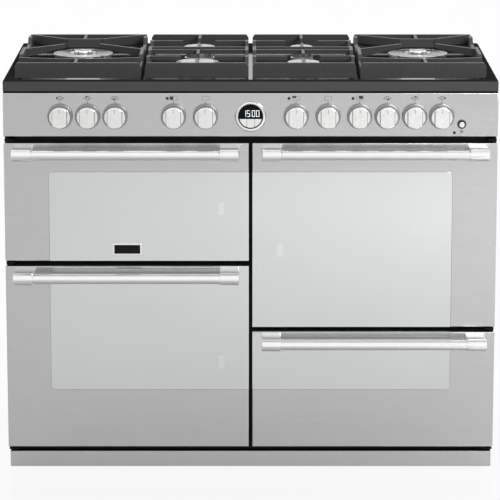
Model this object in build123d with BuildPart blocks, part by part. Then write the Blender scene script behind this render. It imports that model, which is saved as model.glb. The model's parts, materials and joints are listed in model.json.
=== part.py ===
from build123d import *
import os

# Range cooker: four side-hung oven doors under a control fascia and a gas hob with six burners.
# The front faces -Y, +X is to the right and +Z is up. The origin is on the floor, under the
# middle of the cooker's outline. Sizes are in millimetres, and depths count from the door face.

os.makedirs("parts", exist_ok=True)

# The whole cooker
width = 1100
body_depth = 600
hob_height = 900
sheet = 1.5
slip = 0.5
turn_fit = 0.05

# Heights on the front, from the floor up
plinth_low = 5
plinth_high = 41
chassis_low = 45
door_low = 60
right_split = 328
left_split = 480
door_fascia_gap = 15
fascia_height = 98
hob_shadow_gap = 4
hob_skirt = 23

# Doors, each with a skin, a pane, an inner panel and two hinge bores
centre_gap = 8
door_gap = 12
door_skin_depth = 30
door_edge_round = 1.8
mirror_side_margin = 100.5
mirror_top_margin = 66
mirror_bottom_margin = 135
mirror_radius = 11.5
mirror_groove = 1.2
glass_thickness = 5
glass_ledge = 14
inner_plate = 2
inner_plug_rise = 6
inner_plug_margin = 22
pin_radius = 4
pin_reach = 12
pin_edge = 11
pin_depth = 17
hinge_block = 20
hinge_plate = 4

# Door handles
handle_end_gap = 21
handle_out = 50
handle_drop = 18.5
bar_radius = 11.2
ferrule_radius = 13.5
ferrule_length = 44
stem_height = 20

# Frame and ovens
frame_set_back = 37
frame_depth = 20
oven_side_margin = 53
oven_end_margin = 35
oven_back_gap = 56.5
oven_flange = 14
seal_inset = 4
seal_width = 8
seal_gap = 0.6
runner_rise = 9
runner_pitch = 85
wool_thickness = 20
back_recess = 35
pan_lip = 15
nut_height = 8
plinth_set_back = 30
bracket_half = 20
foot_inset = 50
foot_pad_radius = 22
foot_pad = 10
stud_radius = 6
inlet_radius = 16
vent_slots = 12
vent_pitch = 30

# Fans, racks and heating elements
shaft_radius = 4
fan_radius = 68
fan_depth = 24
fan_gap = 8
blade_count = 8
blade_ring = 0.72
cover_size = 230
cover_stand = 42
cover_leg_inset = 20
cover_slots = 16
cover_slot_ring = 0.62
cover_slot_length = 0.6
motor_radius = 32
motor_depth = 40
motor_plate = 90
rack_rod = 3
rack_cross = 2.5
rack_wire = 1.8
rack_wires = 11
element_radius = 3.5
element_gap = 20
ring_gap = 18
loop_count = 4
loop_margin = 60
loop_bend = 0.45

# Fascia controls, left to right: places across the front are shares of half the width
left_gas_shares = [-0.769, -0.658, -0.547]
oven_shares = [-0.311, -0.182, 0.184, 0.313, 0.44]
right_gas_shares = [0.551, 0.662, 0.771]
knob_rise = 46
skirt_radius = 28
knob_radius = 23.3
grip_width = 33
skirt_depth = 8
knob_depth = 20
knob_front = 32
knob_gap = 1
spindle_radius = 4
spindle_reach = 32
shaft_hole = 6
skirt_round = 2
grip_round = 1.5
timer_radius = 34.5
timer_face_radius = 26.2
timer_body_radius = 31.2
timer_proud = 5
timer_face_proud = 2
timer_depth = 32
timer_round = 2
window_drop = 5.5
button_gap = 0.4
button_back = 6
button_proud = 3.5
button_travel = 1.5
push_share = 0.853
push_rise = 28
push_radius = 6
push_ring = 10
push_ring_proud = 3
push_proud = 10
push_round = 1
lens_shares = [-0.336, 0.155, 0.413]
lens_rise = 86
push_lens_share = 0.824
push_lens_rise = 9
lens_radius = 3.3
lens_stem = 2.7
lens_proud = 1

# Gas rail and switches behind the fascia
rail_radius = 10
rail_depth = 70
tap_size = 28
tap_depth = 12
inlet_length = 40
inlet_thread_radius = 9.3
inlet_thread_length = 15
inlet_set_back = 2
switch_radius = 18
switch_depth = 45

# Hob tray and burners
hob_corner = 6
hob_edge_round = 3
well_drop = 12
well_margin = 22
well_radius = 30
wok_back = 200
wok_radius = 70
wok_inner_radius = 22
wok_hole_radius = 32
burner_spacing = 249
front_cap_radii = {-1: 49, 1: 37}
rear_cap_radii = {-1: 36.5, 1: 27}
cap_thickness = 7
cap_round = 2.5
cap_clearance = 2.5
wok_cap_drop = 25
burner_flange = 3
burner_throat = 14
flange_share = 0.97
wok_crown_share = 0.92
crown_share = 0.86
electrode_radius = 2.2

# Pan supports: depths along the cooker count from the middle of a support or of its burner
support_rise = 30
support_front = 70
support_back_margin = 62
support_gap = 9.6
support_bar = 8
support_height = 34
lip_height = 8
bar_chamfer_run = 5
bar_chamfer_drop = 8
finger_width = 7
rail_drop = 14
hump_slope = 15
wok_support_width = 282
wok_finger_height = 20
wok_tip_height = 9
wok_offset = 6
wok_arm = 41
wok_back_bar = 58
wok_arm_root = 12
wok_arm_tip = 24
wok_front_root = 148
wok_front_bar = 168
wok_hump_front = 99
wok_hump_back = 18
wok_rear_hump = 60
centre_finger_height = 10
centre_hump = 12
cross_step = 22
finger_tip = 38

# Places worked out from the sizes above
handle_reach = handle_out + ferrule_radius
front_y = (handle_reach - body_depth) / 2
back_y = front_y + body_depth
half_width = width / 2
inner_half = half_width - sheet
hob_low = hob_height - hob_skirt
fascia_high = hob_low - hob_shadow_gap
fascia_low = fascia_high - fascia_height
door_high = fascia_low - door_fascia_gap
frame_y = front_y + frame_set_back
oven_front = frame_y + sheet
panel_y = back_y - back_recess
oven_back = panel_y - oven_back_gap
oven_depth = oven_back - oven_front
knob_z = fascia_low + knob_rise
door_width = (width - centre_gap) / 2
handle_length = door_width - 2 * handle_end_gap
gas_spots = [half_width * share for share in left_gas_shares + right_gas_shares]
oven_knob_spots = [half_width * share for share in oven_shares]
knob_spots = sorted(gas_spots + oven_knob_spots)
lens_spots = [(half_width * share, lens_rise) for share in lens_shares]
lens_spots.append((half_width * push_lens_share, push_lens_rise))
mirror_width = width - 2 * mirror_side_margin
mirror_low = door_low + mirror_bottom_margin
mirror_height = door_high - mirror_top_margin - mirror_low
mirror_centre = (0, mirror_low + mirror_height / 2)
doors = [
    ("upper_left", -1, left_split + door_gap, door_high),
    ("lower_left", -1, door_low, left_split),
    ("upper_right", 1, right_split + door_gap, door_high),
    ("lower_right", 1, door_low, right_split),
]
fan_ovens = ["lower_left", "upper_right"]


def block(x0, x1, y0, y1, z0, z1, mode=Mode.ADD):
    """A box between two opposite corners."""
    with Locations(((x0 + x1) / 2, (y0 + y1) / 2, (z0 + z1) / 2)):
        return Box(abs(x1 - x0), abs(y1 - y0), abs(z1 - z0), mode=mode)


def rod(start, direction, length, radius, mode=Mode.ADD):
    """A cylinder that grows from a point along a direction."""
    with Locations(Plane(origin=start, z_dir=direction)):
        return Cylinder(radius, length, align=(Align.CENTER, Align.CENTER, Align.MIN), mode=mode)


def front_plane(depth):
    """A plane that faces the user: its x is the cooker's X and its y is the height."""
    return Plane(origin=(0, front_y + depth, 0), x_dir=(1, 0, 0), z_dir=(0, -1, 0))


def save(piece, name):
    """Labels a finished piece and writes it to its own file."""
    piece.part.label = name
    export_step(piece.part, f"parts/{name}.step")


def oven_box(side, low, high):
    """The oven opening behind a door: its x range, low one first, and its z range."""
    x_range = sorted([side * (centre_gap / 2 + oven_side_margin), side * (half_width - oven_side_margin)])
    return x_range[0], x_range[1], low + oven_end_margin, high - oven_end_margin


# Chassis: a folded base pan on four levelling feet, with a plinth, side panels and a back panel
foot_spots = []
for foot_x in (-half_width + foot_inset, half_width - foot_inset):
    for foot_y in (frame_y + frame_depth + foot_inset, panel_y - foot_inset):
        foot_spots.append((foot_x, foot_y))

with BuildPart() as base_pan:
    block(-inner_half, inner_half, frame_y + frame_depth, panel_y, chassis_low, chassis_low + pan_lip)
    block(
        -inner_half + sheet, inner_half - sheet,
        frame_y + frame_depth + sheet, panel_y - sheet,
        chassis_low + sheet, chassis_low + pan_lip,
        mode=Mode.SUBTRACT,
    )
    for foot_x, foot_y in foot_spots:
        rod((foot_x, foot_y, chassis_low), (0, 0, 1), sheet, stud_radius + slip, mode=Mode.SUBTRACT)
save(base_pan, "base_pan")

with BuildPart() as levelling_feet:
    for foot_x, foot_y in foot_spots:
        rod((foot_x, foot_y, 0), (0, 0, 1), foot_pad, foot_pad_radius)
        rod((foot_x, foot_y, foot_pad), (0, 0, 1), chassis_low + pan_lip - foot_pad, stud_radius)
        rod((foot_x, foot_y, chassis_low - nut_height), (0, 0, 1), nut_height, 2 * stud_radius)
save(levelling_feet, "levelling_feet")

plinth_y = front_y + plinth_set_back
bracket_x = width / 4
with BuildPart() as plinth:
    block(-inner_half, inner_half, plinth_y, plinth_y + sheet, plinth_low, plinth_high)
    block(
        -inner_half, inner_half, plinth_y, plinth_y + bracket_half, plinth_high - sheet, plinth_high
    )
    for x in (-bracket_x, bracket_x):
        block(
            x - bracket_half, x + bracket_half,
            frame_y + frame_depth, frame_y + frame_depth + bracket_half,
            chassis_low - sheet, chassis_low,
        )
        block(
            x - bracket_half, x + bracket_half,
            plinth_y + bracket_half - sheet, frame_y + frame_depth + bracket_half,
            plinth_high - sheet, plinth_high,
        )
        block(
            x - bracket_half, x + bracket_half,
            frame_y + frame_depth, frame_y + frame_depth + sheet,
            plinth_high - sheet, chassis_low,
        )
save(plinth, "plinth")

with BuildPart() as side_panels:
    for x in (-half_width, inner_half):
        block(x, x + sheet, frame_y, back_y, chassis_low, hob_low)
save(side_panels, "side_panels")

inlet_x = inner_half - foot_inset
with BuildPart() as back_panel:
    block(-inner_half, inner_half, panel_y, panel_y + sheet, chassis_low, hob_low)
    rod((inlet_x, panel_y, knob_z), (0, 1, 0), sheet, inlet_radius + slip, mode=Mode.SUBTRACT)
    with BuildSketch(Plane(origin=(0, panel_y, knob_z), x_dir=(1, 0, 0), z_dir=(0, -1, 0))):
        with GridLocations(vent_pitch, 1, vent_slots, 1):
            SlotOverall(fascia_height / 2, vent_pitch / 4, rotation=90)
    extrude(amount=-sheet, mode=Mode.SUBTRACT)
save(back_panel, "back_panel")

frame_high = fascia_low + pan_lip
with BuildPart() as front_frame:
    block(-inner_half, inner_half, frame_y, frame_y + frame_depth, chassis_low, frame_high)
    block(
        -inner_half + sheet, inner_half - sheet,
        oven_front, frame_y + frame_depth,
        chassis_low + sheet, frame_high - sheet,
        mode=Mode.SUBTRACT,
    )
    for name, side, low, high in doors:
        x0, x1, z0, z1 = oven_box(side, low, high)
        block(x0, x1, frame_y, oven_front, z0, z1, mode=Mode.SUBTRACT)
save(front_frame, "front_frame")

# Ovens: pressed liners with rack runners, wrapped in wool, with racks, elements and fans


def runner_levels(low, high):
    """Heights of the rack runners in an oven between two heights."""
    steps = max(2, round((high - low) / runner_pitch))
    return [low + (high - low) * step / steps for step in range(1, steps)]


def fan_centre(side, low, high):
    """The x and z of the fan in an oven's back wall."""
    x0, x1, z0, z1 = oven_box(side, low, high)
    return (x0 + x1) / 2, (z0 + z1) / 2


with BuildPart() as oven_liners:
    for name, side, low, high in doors:
        x0, x1, z0, z1 = oven_box(side, low, high)
        block(
            x0 - oven_flange, x1 + oven_flange, oven_front, oven_front + sheet,
            z0 - oven_flange, z1 + oven_flange,
        )
        block(x0 - sheet, x1 + sheet, oven_front, oven_back + sheet, z0 - sheet, z1 + sheet)
        block(x0, x1, oven_front, oven_back, z0, z1, mode=Mode.SUBTRACT)
        for level in runner_levels(z0, z1):
            for wall, inward in ((x0, 1), (x1, -1)):
                block(
                    wall, wall + inward * runner_rise,
                    oven_front + runner_rise, oven_back - cover_stand - runner_rise,
                    level - runner_rise, level,
                )
        if name in fan_ovens:
            fan_x, fan_z = fan_centre(side, low, high)
            rod((fan_x, oven_back, fan_z), (0, 1, 0), sheet, 2 * shaft_radius, mode=Mode.SUBTRACT)
save(oven_liners, "oven_liners")

with BuildPart() as oven_insulation:
    for name, side, low, high in doors:
        x0, x1, z0, z1 = oven_box(side, low, high)
        wool_front = frame_y + frame_depth
        wool_back = oven_back + sheet + wool_thickness
        grow = wool_thickness
        block(x0 - grow, x1 + grow, wool_front, wool_back, z0 - grow, z1 + grow)
        grow = sheet
        block(
            x0 - grow, x1 + grow, wool_front, oven_back + grow, z0 - grow, z1 + grow,
            mode=Mode.SUBTRACT,
        )
        if name in fan_ovens:
            fan_x, fan_z = fan_centre(side, low, high)
            plate_half = motor_plate / 2 + slip
            block(
                fan_x - plate_half, fan_x + plate_half, oven_back + sheet, wool_back,
                fan_z - plate_half, fan_z + plate_half,
                mode=Mode.SUBTRACT,
            )
save(oven_insulation, "oven_insulation")

with BuildPart() as oven_racks:
    for name, side, low, high in doors:
        x0, x1, z0, z1 = oven_box(side, low, high)
        rack_x0 = x0 + slip + rack_rod
        rack_x1 = x1 - slip - rack_rod
        rack_front = oven_front + 2 * runner_rise
        rack_length = oven_depth - cover_stand - 4 * runner_rise
        for level in runner_levels(z0, z1)[:3:2]:
            rack_z = level + rack_rod
            for x in (rack_x0, rack_x1):
                rod((x, rack_front - rack_rod, rack_z), (0, 1, 0), rack_length + 2 * rack_rod, rack_rod)
            for y in (rack_front, rack_front + rack_length):
                rod((rack_x0, y, rack_z), (1, 0, 0), rack_x1 - rack_x0, rack_cross)
            for wire in range(1, rack_wires + 1):
                wire_x = rack_x0 + (rack_x1 - rack_x0) * wire / (rack_wires + 1)
                rod((wire_x, rack_front, rack_z), (0, 1, 0), rack_length, rack_wire)
save(oven_racks, "oven_racks")

# Ring elements round the fans, a looped grill element at the top and a looped base element
ring_radius = fan_radius + ring_gap
with BuildPart() as heating_elements:
    for name, side, low, high in doors:
        x0, x1, z0, z1 = oven_box(side, low, high)
        if name in fan_ovens:
            fan_x, fan_z = fan_centre(side, low, high)
            ring_y = oven_back - fan_gap - fan_depth / 2
            with Locations((fan_x, ring_y, fan_z)):
                Torus(ring_radius, element_radius, rotation=(90, 0, 0))
            for x in (fan_x - 2 * shaft_radius, fan_x + 2 * shaft_radius):
                rod((x, ring_y, fan_z + ring_radius), (0, 1, 0), oven_back - ring_y, element_radius)
        else:
            loop_z = z1 - element_gap if name == "upper_left" else z0 + element_gap
            loop_pitch = (x1 - x0 - 2 * loop_margin) / (2 * loop_count - 1)
            points = [(x0 + loop_margin, oven_back, loop_z)]
            for run in range(2 * loop_count):
                x = x0 + loop_margin + run * loop_pitch
                ends = [oven_back - loop_margin, oven_front + loop_margin]
                if run % 2:
                    ends.reverse()
                if run:
                    points.append((x, ends[0], loop_z))
                points.append((x, ends[1], loop_z))
            points[-1] = (points[-1][0], oven_back, loop_z)
            with BuildLine() as loops:
                FilletPolyline(*points, radius=loop_pitch * loop_bend)
            with BuildSketch(Plane(origin=points[0], z_dir=(0, -1, 0))):
                Circle(element_radius)
            sweep(path=loops.line)
save(heating_elements, "heating_elements")

with BuildPart() as fan_covers:
    for name, side, low, high in doors:
        if name not in fan_ovens:
            continue
        fan_x, fan_z = fan_centre(side, low, high)
        half = cover_size / 2
        cover_y = oven_back - cover_stand
        block(fan_x - half, fan_x + half, cover_y, cover_y + sheet, fan_z - half, fan_z + half)
        leg = half - cover_leg_inset
        for leg_x in (fan_x - leg, fan_x + leg):
            for leg_z in (fan_z - leg, fan_z + leg):
                rod((leg_x, cover_y + sheet, leg_z), (0, 1, 0), cover_stand - sheet, shaft_radius)
        with Locations(Plane(origin=(fan_x, cover_y, fan_z), x_dir=(1, 0, 0), z_dir=(0, 1, 0))):
            with PolarLocations(fan_radius * cover_slot_ring, cover_slots):
                Box(fan_radius * cover_slot_length, shaft_radius, 4 * sheet, mode=Mode.SUBTRACT)
save(fan_covers, "fan_covers")

with BuildPart() as fan_motors:
    for name, side, low, high in doors:
        if name not in fan_ovens:
            continue
        fan_x, fan_z = fan_centre(side, low, high)
        motor_y = oven_back + sheet
        half = motor_plate / 2
        block(fan_x - half, fan_x + half, motor_y, motor_y + sheet, fan_z - half, fan_z + half)
        rod((fan_x, motor_y, fan_z), (0, 1, 0), motor_depth, motor_radius)
        rod(
            (fan_x, motor_y, fan_z), (0, 1, 0), motor_depth - 2 * sheet, shaft_radius + turn_fit,
            mode=Mode.SUBTRACT,
        )
save(fan_motors, "fan_motors")

for name, side, low, high in doors:
    if name not in fan_ovens:
        continue
    fan_x, fan_z = fan_centre(side, low, high)
    fan_y = oven_back - fan_gap
    with BuildPart() as oven_fan:
        rod((fan_x, fan_y, fan_z), (0, -1, 0), sheet, fan_radius)
        rod((fan_x, fan_y, fan_z), (0, -1, 0), fan_depth, 3 * shaft_radius)
        with Locations(Plane(origin=(fan_x, fan_y - fan_depth / 2, fan_z), z_dir=(0, -1, 0))):
            with PolarLocations(fan_radius * blade_ring, blade_count):
                Box(fan_radius / 2, sheet, fan_depth)
        rod((fan_x, fan_y, fan_z), (0, 1, 0), fan_gap + motor_depth - 4 * sheet, shaft_radius)
    save(oven_fan, f"{name}_oven_fan")

# Doors: seals and hinge brackets on the frame, then each door's skin, glass, inner panel and handle
with BuildPart() as door_seals:
    for name, side, low, high in doors:
        x0, x1, z0, z1 = oven_box(side, low, high)
        seal_back = frame_set_back
        seal_front = door_skin_depth + inner_plate + seal_gap
        with BuildSketch(front_plane(seal_front)):
            with Locations(((x0 + x1) / 2, (z0 + z1) / 2)):
                grow = 2 * (seal_inset + seal_width)
                RectangleRounded(x1 - x0 + grow, z1 - z0 + grow, seal_inset + seal_width)
                grow = 2 * seal_inset
                RectangleRounded(x1 - x0 + grow, z1 - z0 + grow, seal_inset, mode=Mode.SUBTRACT)
        extrude(amount=-(seal_back - seal_front))
save(door_seals, "door_seals")

pin_y = front_y + pin_depth
with BuildPart() as hinge_brackets:
    for side, split in ((-1, left_split), (1, right_split)):
        pin_x = side * (half_width - pin_edge)
        plate_x = side * (half_width - 2 * pin_edge)
        half_gap = (door_gap - hinge_plate) / 2
        for plate_low, pin_low, pin_high in (
            (door_low - half_gap - hinge_plate, door_low - half_gap, door_low + pin_reach),
            (split + half_gap, split - pin_reach, split + door_gap + pin_reach),
            (door_high + half_gap, door_high - pin_reach, door_high + half_gap),
        ):
            block(
                plate_x, side * (half_width - sheet), pin_y - pin_edge, frame_y,
                plate_low, plate_low + hinge_plate,
            )
            rod((pin_x, pin_y, pin_low), (0, 0, 1), pin_high - pin_low, pin_radius)
save(hinge_brackets, "hinge_brackets")

ledge_back = glass_thickness + sheet
for name, side, low, high in doors:
    inner_x = side * centre_gap / 2
    outer_x = side * half_width
    pin_x = side * (half_width - pin_edge)
    door_height = high - low
    centre = ((inner_x + outer_x) / 2, (low + high) / 2)
    x0, x1, z0, z1 = oven_box(side, low, high)

    with BuildPart() as skin:
        with BuildSketch(front_plane(0)):
            with Locations(centre):
                Rectangle(door_width, door_height)
        extrude(amount=-door_skin_depth)
        fillet(skin.faces().sort_by(Axis.Y)[0].edges(), door_edge_round)
        with BuildSketch(front_plane(ledge_back)):
            with Locations(centre):
                Rectangle(door_width - 2 * sheet, door_height - 2 * sheet)
        extrude(amount=-(door_skin_depth - ledge_back), mode=Mode.SUBTRACT)
        with BuildSketch(front_plane(sheet)):
            with Locations(centre):
                Rectangle(door_width - 2 * sheet, door_height - 2 * sheet)
            with Locations(mirror_centre):
                grow = mirror_groove + sheet
                RectangleRounded(
                    mirror_width + 2 * grow, mirror_height + 2 * grow, mirror_radius + grow,
                    mode=Mode.SUBTRACT,
                )
        extrude(amount=-(ledge_back - sheet), mode=Mode.SUBTRACT)
        with BuildSketch(front_plane(0)):
            with Locations(mirror_centre):
                grow = mirror_groove
                RectangleRounded(mirror_width + 2 * grow, mirror_height + 2 * grow, mirror_radius + grow)
        extrude(amount=-glass_thickness, mode=Mode.SUBTRACT)
        with BuildSketch(front_plane(glass_thickness)):
            with Locations(centre):
                Rectangle(door_width - 2 * glass_ledge, door_height - 2 * glass_ledge)
            with Locations(mirror_centre):
                RectangleRounded(
                    mirror_width - 2 * glass_ledge, mirror_height - 2 * glass_ledge, mirror_radius,
                    mode=Mode.INTERSECT,
                )
        extrude(amount=-sheet, mode=Mode.SUBTRACT)
        for hole_z in (low, high - sheet):
            rod((pin_x, pin_y, hole_z), (0, 0, 1), sheet, pin_radius + slip, mode=Mode.SUBTRACT)
    save(skin, f"{name}_door_skin")

    with BuildPart() as glass:
        with BuildSketch(front_plane(0)):
            with Locations(centre):
                Rectangle(door_width, door_height)
            with Locations(mirror_centre):
                RectangleRounded(mirror_width, mirror_height, mirror_radius, mode=Mode.INTERSECT)
        extrude(amount=-glass_thickness)
    save(glass, f"{name}_mirror_glass")

    with BuildPart() as inner:
        back_of_skin = front_y + door_skin_depth
        with BuildSketch(front_plane(door_skin_depth)):
            with Locations(centre):
                Rectangle(door_width, door_height)
        extrude(amount=-inner_plate)
        plug = inner_plug_margin
        block(
            x0 + plug, x1 - plug, back_of_skin, back_of_skin + inner_plate + inner_plug_rise,
            z0 + plug, z1 - plug,
        )
        plug += sheet
        block(
            x0 + plug, x1 - plug, back_of_skin, back_of_skin + inner_plate + inner_plug_rise - sheet,
            z0 + plug, z1 - plug,
            mode=Mode.SUBTRACT,
        )
        for end, inward in ((low + sheet, 1), (high - sheet, -1)):
            block(
                outer_x - side * sheet, outer_x - side * (sheet + hinge_block),
                front_y + ledge_back, back_of_skin, end, end + inward * hinge_block,
            )
            rod((pin_x, pin_y, end), (0, 0, inward), pin_reach, pin_radius + turn_fit, mode=Mode.SUBTRACT)
    save(inner, f"{name}_door_inner")

    with BuildPart() as handle:
        handle_x = centre[0] - handle_length / 2
        handle_y = front_y - handle_out
        handle_z = high - handle_drop
        rod((handle_x, handle_y, handle_z), (1, 0, 0), handle_length, bar_radius)
        for end_x in (handle_x, handle_x + handle_length - ferrule_length):
            rod((end_x, handle_y, handle_z), (1, 0, 0), ferrule_length, ferrule_radius)
            block(
                end_x, end_x + ferrule_length, handle_y, front_y,
                handle_z - stem_height / 2, handle_z + stem_height / 2,
            )
    save(handle, f"{name}_door_handle")

# Controls: a folded fascia that carries the timer, the switches and the lenses, with a gas rail behind
push_barrel = push_radius + sheet
push_x = half_width * push_share
push_z = fascia_low + push_rise
with BuildPart() as control_fascia:
    block(-half_width, half_width, front_y, frame_y, fascia_low, fascia_high)
    fillet(control_fascia.faces().sort_by(Axis.Y)[0].edges(), door_edge_round)
    block(
        -inner_half, inner_half, front_y + sheet, frame_y, fascia_low + sheet, fascia_high - sheet,
        mode=Mode.SUBTRACT,
    )
    for x in knob_spots:
        rod((x, front_y, knob_z), (0, 1, 0), sheet, shaft_hole, mode=Mode.SUBTRACT)
    rod((0, front_y, knob_z), (0, 1, 0), sheet, timer_body_radius + slip, mode=Mode.SUBTRACT)
    rod((push_x, front_y, push_z), (0, 1, 0), sheet, push_barrel + slip, mode=Mode.SUBTRACT)
    for x, rise in lens_spots:
        rod((x, front_y, fascia_low + rise), (0, 1, 0), sheet, lens_stem + turn_fit, mode=Mode.SUBTRACT)
save(control_fascia, "control_fascia")

# A gas tap behind each outer knob, all on one rail that runs to the inlet at the back
rail_y = front_y + rail_depth
tap_front = front_y + tap_depth
inlet_end = back_y - inlet_set_back
with BuildPart() as gas_rail:
    with BuildLine() as rail_path:
        FilletPolyline(
            (gas_spots[0] - tap_size, rail_y, knob_z),
            (inlet_x, rail_y, knob_z),
            (inlet_x, inlet_end - inlet_length, knob_z),
            radius=3 * rail_radius,
        )
    with BuildSketch(Plane(origin=rail_path.line @ 0, z_dir=(1, 0, 0))):
        Circle(rail_radius)
    sweep(path=rail_path.line)
    rod((inlet_x, inlet_end - inlet_length, knob_z), (0, 1, 0), inlet_length, inlet_radius)
    rod(
        (inlet_x, inlet_end, knob_z), (0, -1, 0), inlet_thread_length, inlet_thread_radius,
        mode=Mode.SUBTRACT,
    )
    for x in gas_spots:
        half = tap_size / 2
        block(x - half, x + half, tap_front, rail_y, knob_z - half, knob_z + half)
        rod(
            (x, tap_front, knob_z), (0, 1, 0), front_y + spindle_reach + slip - tap_front,
            spindle_radius + turn_fit, mode=Mode.SUBTRACT,
        )
save(gas_rail, "gas_rail")

# Oven switches behind the middle knobs, and the barrel of the push switch
barrel_depth = timer_depth - push_ring_proud
with BuildPart() as oven_switches:
    for x in oven_knob_spots:
        rod((x, front_y + sheet, knob_z), (0, 1, 0), switch_depth, switch_radius)
        rod(
            (x, front_y + sheet, knob_z), (0, 1, 0), spindle_reach + slip - sheet,
            spindle_radius + turn_fit, mode=Mode.SUBTRACT,
        )
    push_face = front_y - push_ring_proud
    rod((push_x, push_face, push_z), (0, 1, 0), push_ring_proud, push_ring)
    rod((push_x, front_y, push_z), (0, 1, 0), barrel_depth, push_barrel)
    rod(
        (push_x, push_face, push_z), (0, 1, 0), barrel_depth, push_radius + turn_fit,
        mode=Mode.SUBTRACT,
    )
save(oven_switches, "oven_switches")

with BuildPart() as ignition_button:
    rod((push_x, front_y - push_proud, push_z), (0, 1, 0), push_proud + timer_depth / 2, push_radius)
    fillet(ignition_button.faces().sort_by(Axis.Y)[0].edges(), push_round)
save(ignition_button, "ignition_button")

for number, x in enumerate(knob_spots, 1):
    with BuildPart() as knob:
        knob_back = (x, front_y - knob_gap, knob_z)
        rod(knob_back, (0, -1, 0), skirt_depth, skirt_radius)
        fillet(knob.faces().sort_by(Axis.Y)[0].edges(), skirt_round)
        rod(knob_back, (0, -1, 0), knob_depth, knob_radius)
        with BuildSketch(front_plane(-knob_gap - knob_depth)):
            with Locations((x, knob_z)):
                Circle(knob_radius)
                Rectangle(grip_width, 2 * knob_radius, mode=Mode.INTERSECT)
        extrude(amount=knob_front - knob_depth)
        fillet(knob.faces().sort_by(Axis.Y)[0].edges(), grip_round)
        rod(knob_back, (0, 1, 0), spindle_reach + knob_gap - slip, spindle_radius)
    kind = "gas" if x in gas_spots else "oven"
    save(knob, f"{kind}_knob_{number}")

# Timer: a round module with a display above and three push buttons below
button_split = timer_face_radius / 3
with BuildPart() as timer_module:
    rod((0, front_y, knob_z), (0, -1, 0), timer_proud, timer_radius)
    fillet(timer_module.faces().sort_by(Axis.Y)[0].edges(), timer_round)
    rod((0, front_y, knob_z), (0, -1, 0), timer_proud, timer_face_radius, mode=Mode.SUBTRACT)
    rod((0, front_y - timer_face_proud, knob_z), (0, 1, 0), timer_depth, timer_body_radius)
    with BuildSketch(front_plane(-timer_proud)):
        with Locations((0, knob_z)):
            Circle(timer_face_radius)
        with Locations((0, knob_z - timer_face_radius / 2 - window_drop)):
            Rectangle(2 * timer_face_radius, timer_face_radius, mode=Mode.INTERSECT)
    extrude(amount=-(timer_proud + button_back), mode=Mode.SUBTRACT)
save(timer_module, "timer_module")

for name, left, right in (
    ("left", -timer_face_radius, -button_split),
    ("middle", -button_split, button_split),
    ("right", button_split, timer_face_radius),
):
    with BuildPart() as timer_button:
        with BuildSketch(front_plane(button_back - button_travel - button_gap)):
            with Locations((0, knob_z)):
                Circle(timer_face_radius - button_gap)
            with Locations(((left + right) / 2, knob_z - timer_face_radius / 2 - window_drop - button_gap)):
                Rectangle(right - left - button_gap, timer_face_radius, mode=Mode.INTERSECT)
        extrude(amount=button_back - button_travel - button_gap + button_proud)
    save(timer_button, f"timer_button_{name}")

with BuildPart() as indicator_lenses:
    for x, rise in lens_spots:
        rod((x, front_y, fascia_low + rise), (0, -1, 0), lens_proud, lens_radius)
        rod((x, front_y, fascia_low + rise), (0, 1, 0), 4 * sheet, lens_stem)
save(indicator_lenses, "indicator_lenses")

# Hob: a pressed tray with six burners and four lift-off pan supports
well_z = hob_height - well_drop
well_corners = (width - 2 * well_margin, body_depth - 2 * well_margin)
hob_centre = (0, (front_y + back_y) / 2)
support_middle = (front_y + support_front + back_y - support_back_margin) / 2
burner_step = burner_spacing / 2
wok_y = back_y - wok_back
wok_support_x = half_width - well_margin - wok_support_width / 2
wok_x = wok_support_x + wok_offset
centre_edge = half_width - well_margin - wok_support_width - support_gap
centre_support_width = centre_edge - support_gap / 2
centre_x = (centre_edge + support_gap / 2) / 2
burners = []
for side in (-1, 1):
    burners.append((side * wok_x, wok_y, wok_radius))
    burners.append((side * centre_x, support_middle - burner_step, front_cap_radii[side]))
    burners.append((side * centre_x, support_middle + burner_step, rear_cap_radii[side]))

with BuildPart() as hob_tray:
    block(-half_width, half_width, front_y, back_y, hob_low, hob_height)
    fillet(hob_tray.edges().filter_by(Axis.Z), hob_corner)
    fillet(hob_tray.faces().sort_by(Axis.Z)[-1].edges(), hob_edge_round)
    with BuildSketch(Plane.XY.offset(hob_low)):
        with Locations(hob_centre):
            RectangleRounded(width - 2 * sheet, body_depth - 2 * sheet, hob_corner - sheet)
    extrude(amount=well_z - sheet - hob_low, mode=Mode.SUBTRACT)
    with BuildSketch(Plane.XY.offset(well_z - sheet)):
        with Locations(hob_centre):
            RectangleRounded(width - 2 * sheet, body_depth - 2 * sheet, hob_corner - sheet)
            RectangleRounded(
                well_corners[0] + 2 * sheet, well_corners[1] + 2 * sheet, well_radius + sheet,
                mode=Mode.SUBTRACT,
            )
    extrude(amount=well_drop - 2 * sheet, mode=Mode.SUBTRACT)
    with BuildSketch(Plane.XY.offset(well_z)):
        with Locations(hob_centre):
            RectangleRounded(*well_corners, well_radius)
    extrude(amount=well_drop, mode=Mode.SUBTRACT)
    for x, y, radius in burners:
        rod((x, y, well_z - sheet), (0, 0, 1), sheet, radius / 2 + slip, mode=Mode.SUBTRACT)
save(hob_tray, "hob_tray")

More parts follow.
